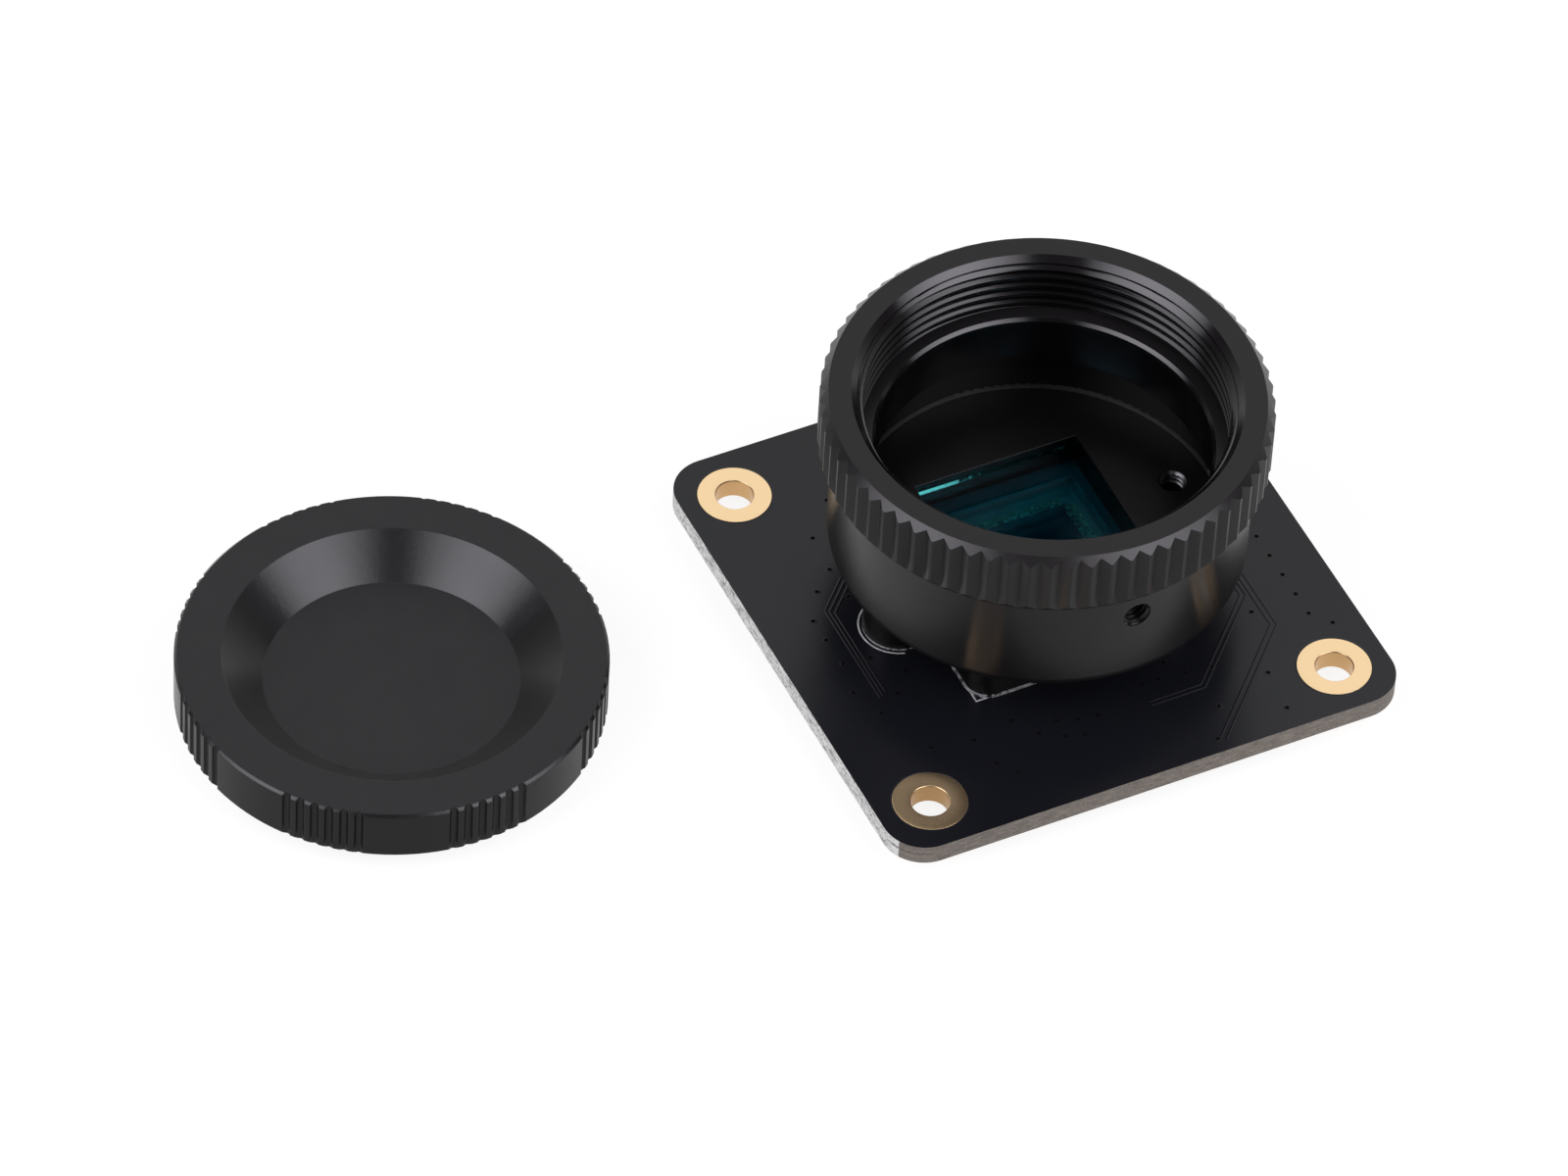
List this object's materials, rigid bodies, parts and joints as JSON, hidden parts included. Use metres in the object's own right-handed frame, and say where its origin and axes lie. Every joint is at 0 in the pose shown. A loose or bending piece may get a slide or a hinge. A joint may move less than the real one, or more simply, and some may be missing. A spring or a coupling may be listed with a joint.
{
  "type": "board camera module",
  "caption": "Bare board camera with a knurled screw mount for lenses over a filtered sensor, and its round dust cap lying beside it.",
  "frame": {"origin": "centre of the four mounting holes on the circuit board's underside", "axes": "+Z along the lens axis towards the lens, -Y towards the edge where the ribbon cable goes in, dust cap on the -X side"},
  "size_m": [0.077, 0.0426, 0.0216],
  "materials": {
    "solder_mask": "satin black solder mask over glass fibre board",
    "gold_plate": "thin gold plating, satin",
    "package_ceramic": "matt ceramic carrier",
    "silicon": "dark polished silicon",
    "clear_glass": "polished",
    "seal_rubber": "matt",
    "filter_glass": "polished blue-green glass",
    "housing_anodised": "black anodised, polished satin",
    "ring_anodised": "black anodised, satin",
    "screw_steel": "black oxide",
    "socket_plastic": "moulded, satin",
    "latch_plastic": "moulded, satin",
    "tinned_metal": "tinned, satin",
    "chip_epoxy": "moulded epoxy, matt",
    "oscillator_metal": "plated lid",
    "capacitor_ceramic": "fired ceramic",
    "resistor_film": "glazed film",
    "cap_plastic": "moulded black plastic, satin"
  },
  "bodies": {
    "root": {"circuit_board": "solder_mask", "mounting_eyelets": "gold_plate", "sensor_package": "package_ceramic", "sensor_die": "silicon", "cover_glass": "clear_glass", "dust_seal": "seal_rubber", "filter_glass": "filter_glass", "mount_housing": "housing_anodised", "lens_ring": "ring_anodised", "housing_screws": "screw_steel", "ribbon_socket": "socket_plastic", "ribbon_latch": "latch_plastic", "ribbon_contacts": "tinned_metal", "socket_tabs": "tinned_metal", "voltage_regulators": "chip_epoxy", "regulator_leads": "tinned_metal", "clock_oscillator": "oscillator_metal", "memory_chip": "chip_epoxy", "small_capacitors": "capacitor_ceramic", "large_capacitors": "capacitor_ceramic", "small_resistors": "resistor_film", "dust_cap": "cap_plastic"}
  },
  "joints": []
}
